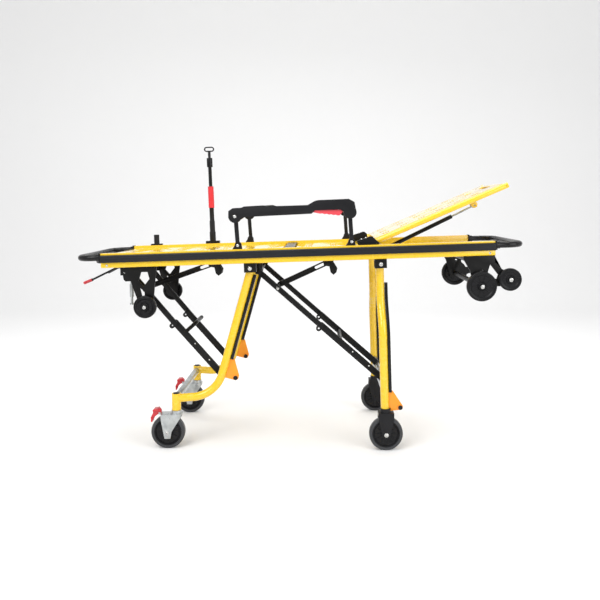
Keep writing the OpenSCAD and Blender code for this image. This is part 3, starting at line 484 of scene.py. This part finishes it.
def hub_bolts():
    """Bolt heads on the wheels' axles, on the body that holds each axle."""
    groups = {"head_legs": [], "bed_frame": []}
    for side_name, side in SIDES.items():
        at = pivot("head_wheel_roll_" + side_name)
        groups["head_legs"] += [(at + Y * side * 0.0285, Y * side, 11)]
        for joint, reach, d in (("load_wheel_roll_", 0.0185, 10), ("tip_wheel_roll_", 0.0165, 10),
                                ("transport_wheel_roll_", 0.0175, 9)):
            at = pivot(joint + side_name)
            groups["bed_frame"].append((at + Y * side * reach, Y * side, d))
        at = pivot("caster_roll_" + side_name)
        bolts("caster_bolts_" + side_name, "caster_fork_%s_body" % side_name, "zinc",
              [(at + Y * s * 0.0285, Y * s, 10) for s in (-1, 1)])
    for body, heads in groups.items():
        bolts(body + "_axle_bolts", body, "zinc", heads, low=True)


def brace_details():
    """Bolts along the lower braces' bars and at the upper braces' elbows."""
    for end in ("head", "foot"):
        anchor, shaft, elbow = (pivot(end + joint) for joint in ("_brace_upper", "_brace_lower", "_link_swing"))
        along = (shaft - anchor).normalized()
        heads = []
        for side in (-1, 1):
            for back in (0.085, 0.185):
                heads.append((shaft - along * back + Vector((0, side * 0.142, 0.004)), Y * side, 6))
        bolts(end + "_lower_brace_bolts", end + "_lower_brace_body", "zinc", heads, washer=False)
        heads = [(elbow + Y * side * 0.155, Y * side, 7) for side in (-1, 1)]
        bolts(end + "_upper_brace_bolts", end + "_upper_brace_body", "zinc", heads, low=True)


def end_details():
    """Black caps on the caster posts, rollers on the amber plates and bolts through the grip bars."""
    cap = [(0, 3.2), (9, 3.0), (13.5, 2.2), (15.2, 0.8), (15.2, 0), (0, 0)]
    for name, side in SIDES.items():
        post = pivot("caster_swivel_" + name)
        at = Vector((post.x, side * POST_S, POST_TOP))
        post_cap = lathe("post_cap_" + name, cap, at, Z, "black_plastic", 40, closed=False)
        place(post_cap, "foot_legs", "black_tube")
        for end, body, (x, z, s) in (("foot", "foot_legs", (-0.292, 0.3075, FOOT_LEG_S)),
                                     ("head", "head_legs", (0.446, 0.192, HEAD_LEG_S))):
            for face in (-1, 1):
                centre = Vector((x, side * s + face * 0.0091, z))
                disc = [(0, 0), (10.2, 0), (10.2, 1.4), (9.4, 2.0), (0, 2.0)]
                where = "out" if face * side > 0 else "in"
                roller = lathe("%s_roller_%s_%s" % (end, name, where), disc, centre, Y * face, "black_plastic",
                               32, closed=False)
                place(roller, body, "black_tube")
        low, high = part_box("grip_bar_" + name)
        outer = high.y if side > 0 else low.y
        lobe = pivot("grip_bar_level_" + name)
        heads = [(Vector((lobe.x, outer, lobe.z)), Y * side, 8)]
        bolts("grip_bar_bolts_" + name, "grip_bar_%s_body" % name, "zinc", heads, low=True)


def red_grips():
    base = pivot_on_pole()
    sleeve = [(13.6, 184.4), (14.4, 184.4), (14.6, 186), (14.6, 292), (14.4, 293.8), (11.6, 294.2),
              (9.3, 294.2)]
    ridged = []
    for k in range(9):
        z = 196 + 11.5 * k
        ridged += [(14.6, z - 2.2), (14.15, z - 1.2), (14.15, z + 1.2), (14.6, z + 2.2)]
    outline = sleeve[:3] + ridged + sleeve[3:]
    pole_sleeve = lathe("pole_sleeve", outline + [(9.3, 184.4)], base, UP, "sleeve_red", 48)
    place(pole_sleeve, "bed_frame", "trigger_red")
    tip = Vector((-0.968, -0.196, 0.7378))
    way = (Vector((-0.932, -0.196, 0.7529)) - tip).normalized()
    capped = [(0, -5.2), (3.5, -4.9), (5.8, -3.4), (6.8, -1), (6.9, 2)]
    for k in range(6):
        z = 5 + 5 * k
        capped += [(6.9, z - 1.3), (6.5, z - 0.6), (6.5, z + 0.6), (6.9, z + 1.3)]
    capped += [(6.6, 35.5), (5.6, 37.6), (0, 37.8)]
    lever_grip = lathe("lever_grip", capped, tip, way, "brake_red", 32, closed=False)
    place(lever_grip, "release_lever_body", "brake_red")


def pivot_on_pole():
    """Where the drip pole's axis meets the top of the right rail."""
    return bed(-0.465, 0.251, 0)


# ---------------------------------------------------------------- assembly

REPLACED_WHEELS = [
    (node + side, joint + side, tread, rim)
    for side in SIDES
    for node, joint, tread, rim in (
        ("caster_wheel_", "caster_roll_", "wheel_grey", 12),
        ("head_wheel_", "head_wheel_roll_", "wheel_grey", 12),
        ("load_wheel_", "load_wheel_roll_", "wheel_black", 10),
        ("tip_wheel_", "tip_wheel_roll_", "wheel_black", 8),
        ("transport_wheel_", "transport_wheel_roll_", "wheel_black", 8),
    )
]
for node, joint, tread, rim in REPLACED_WHEELS:
    wheel_piece(node, joint, tread, rim)

BEVELS = {
    "side_rail_left": 0.8, "side_rail_right": 0.8,
    "leg_panel": 0.5, "seat_panel": 0.5, "backrest_panel": 0.5,
    "cross_members": 0.8, "pivot_blocks": 1.6, "backrest_brackets": 1.6, "loading_brackets": 1.2,
    "transport_forks": 1.2, "under_brackets": 1.0, "handrail_feet": 2.0, "grip_bar_left": 4.0,
    "grip_bar_right": 4.0, "grip_trigger_left": 1.6, "grip_trigger_right": 1.6, "head_forks": 1.4,
}
wheel_nodes = {entry[0] for entry in REPLACED_WHEELS}
for node in frame["nodes"]:
    if node not in wheel_nodes and node != "bumper_strips":
        rounded_node(node, BEVELS.get(node, 0.7))

for side_name, side in SIDES.items():
    strip = bumper(side)
    place(strip, "bed_frame", "bumper")
    if side < 0:
        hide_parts("bumper_strips")

leg_strips()
rail_bolts()
hub_bolts()
brace_details()
end_details()
red_grips()

# ---------------------------------------------------------------- studio


def studio():
    bm = bmesh.new()
    size, rise = 14.0, 5.0
    curve = [(3.2 + 1.6 * sin(a), 1.6 - 1.6 * cos(a)) for a in (pi / 2 * k / 10 for k in range(1, 11))]
    profile = [(-14.0, 0.0), (3.2, 0.0)] + curve + [(4.8, rise)]
    rows = [[bm.verts.new((x, y, z)) for y, z in profile] for x in (-size, size)]
    for k in range(len(profile) - 1):
        bm.faces.new((rows[0][k], rows[1][k], rows[1][k + 1], rows[0][k + 1]))
    from_bmesh("floor", bm, "floor", 60)
    world = bpy.data.worlds.new("studio")
    world.use_nodes = True
    world.node_tree.nodes["Background"].inputs["Color"].default_value = (1, 1, 1, 1)
    world.node_tree.nodes["Background"].inputs["Strength"].default_value = 0.75
    bpy.context.scene.world = world
    bpy.context.scene.view_settings.view_transform = "Standard"
    for name, place_at, aim, power, wide in (
        ("key", (-1.8, -2.6, 3.4), (0, 0, 0.6), 95, 2.4),
        ("fill", (2.8, -2.4, 1.8), (0, 0, 0.6), 45, 2.2),
        ("top", (0.2, 0.4, 3.6), (0, 0, 0.8), 80, 2.6),
    ):
        light = bpy.data.lights.new(name, "AREA")
        light.energy = power
        light.size = wide
        lamp = bpy.data.objects.new(name, light)
        lamp.location = place_at
        lamp.rotation_euler = (Vector(aim) - Vector(place_at)).to_track_quat("-Z", "Y").to_euler()
        bpy.context.scene.collection.objects.link(lamp)


def camera():
    """Eye level with the drip pole's middle, looking across the bed and a little down."""
    data = bpy.data.cameras.new("camera")
    data.sensor_width = 36
    data.lens = 37.41
    data.shift_x = -0.031
    data.shift_y = -0.0975
    obj = bpy.data.objects.new("camera", data)
    obj.location = (0.0836, -2.984, 1.0948)
    obj.rotation_euler = (radians(86.5), 0, 0)
    bpy.context.scene.collection.objects.link(obj)
    bpy.context.scene.camera = obj


studio()
camera()
